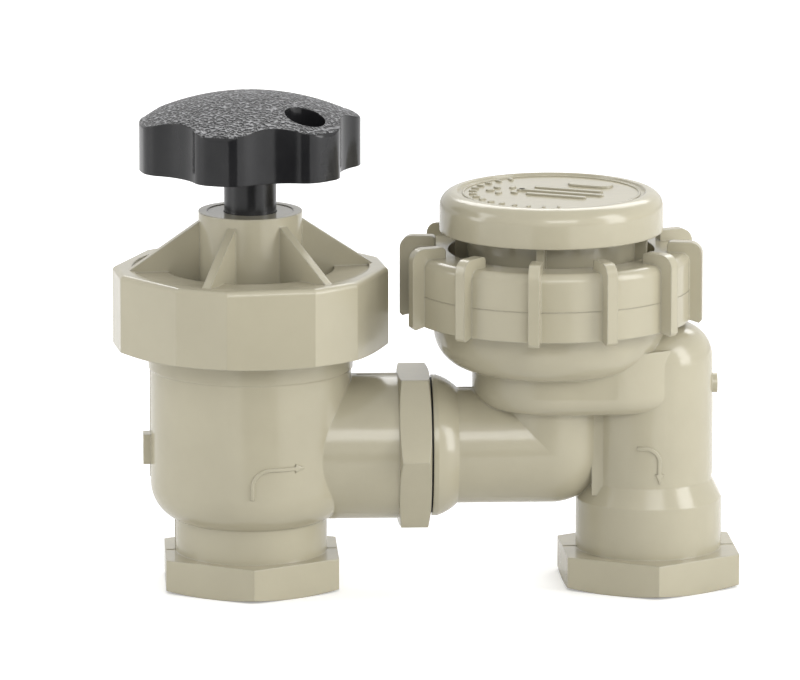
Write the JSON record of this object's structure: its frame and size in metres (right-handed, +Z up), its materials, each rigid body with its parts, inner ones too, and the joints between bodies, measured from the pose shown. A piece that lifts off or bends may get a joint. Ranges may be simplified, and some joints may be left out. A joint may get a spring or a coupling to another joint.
{
  "type": "manual anti-siphon valve",
  "caption": "Manual anti-siphon irrigation valve: angle globe valve with a lobed handwheel, joined by a short pipe to a capped atmospheric vacuum breaker.",
  "frame": {"origin": "centre of the inlet port, in the plane of its mouth", "axes": "+Z up, away from the inlet port's mouth along the stem; +X towards the outlet port; -Y front"},
  "size_m": [0.1447, 0.0698, 0.1156],
  "materials": {
    "beige_plastic": "satin moulded",
    "black_plastic": "grained top, glossy side",
    "black_rubber": "matte",
    "steel": "plain",
    "white_plastic": "moulded"
  },
  "bodies": {
    "body": {"valve_body": "beige_plastic", "bonnet": "beige_plastic", "bonnet_o_ring": "black_rubber", "gland_ring": "beige_plastic", "stem_o_rings": "black_rubber", "joint_seal": "black_rubber", "breaker_body": "beige_plastic"},
    "valve_disc": {"disc_holder": "white_plastic", "seat_washer": "black_rubber", "washer_screw": "steel"},
    "handwheel_stem": {"stem": "black_plastic", "handwheel": "black_plastic", "handwheel_screw": "steel", "handwheel_cover": "black_plastic"},
    "vent_unit": {"vent_bonnet": "beige_plastic", "vent_cap": "beige_plastic", "vent_o_ring": "black_rubber"},
    "nut": {"ring_nut": "beige_plastic"},
    "poppet_unit": {"poppet": "white_plastic", "poppet_seal": "black_rubber"}
  },
  "joints": [
    {"name": "disc_lift", "type": "slide", "parent": "body", "child": "valve_disc", "axis": [0, 0, 1], "range_m": [-0.007, 0]},
    {"name": "handwheel_turn", "type": "hinge", "parent": "valve_disc", "child": "handwheel_stem", "pos_m": [0, 0, 0.1], "axis": [0, 0, 1], "range_deg": [-840, 0]},
    {"name": "vent_lift", "type": "slide", "parent": "body", "child": "vent_unit", "axis": [0, 0, 1], "range_m": [0, 0.006]},
    {"name": "nut_turn", "type": "hinge", "parent": "vent_unit", "child": "nut", "pos_m": [0.0696, 0, 0.07], "axis": [0, 0, 1], "range_deg": [0, 720]},
    {"name": "poppet_lift", "type": "slide", "parent": "body", "child": "poppet_unit", "axis": [0, 0, 1], "range_m": [0, 0.0045]}
  ],
  "couplings": [
    {"joint": "handwheel_turn", "follows": "disc_lift", "rad_per_m": 2094.4},
    {"joint": "nut_turn", "follows": "vent_lift", "rad_per_m": 2094.4}
  ]
}
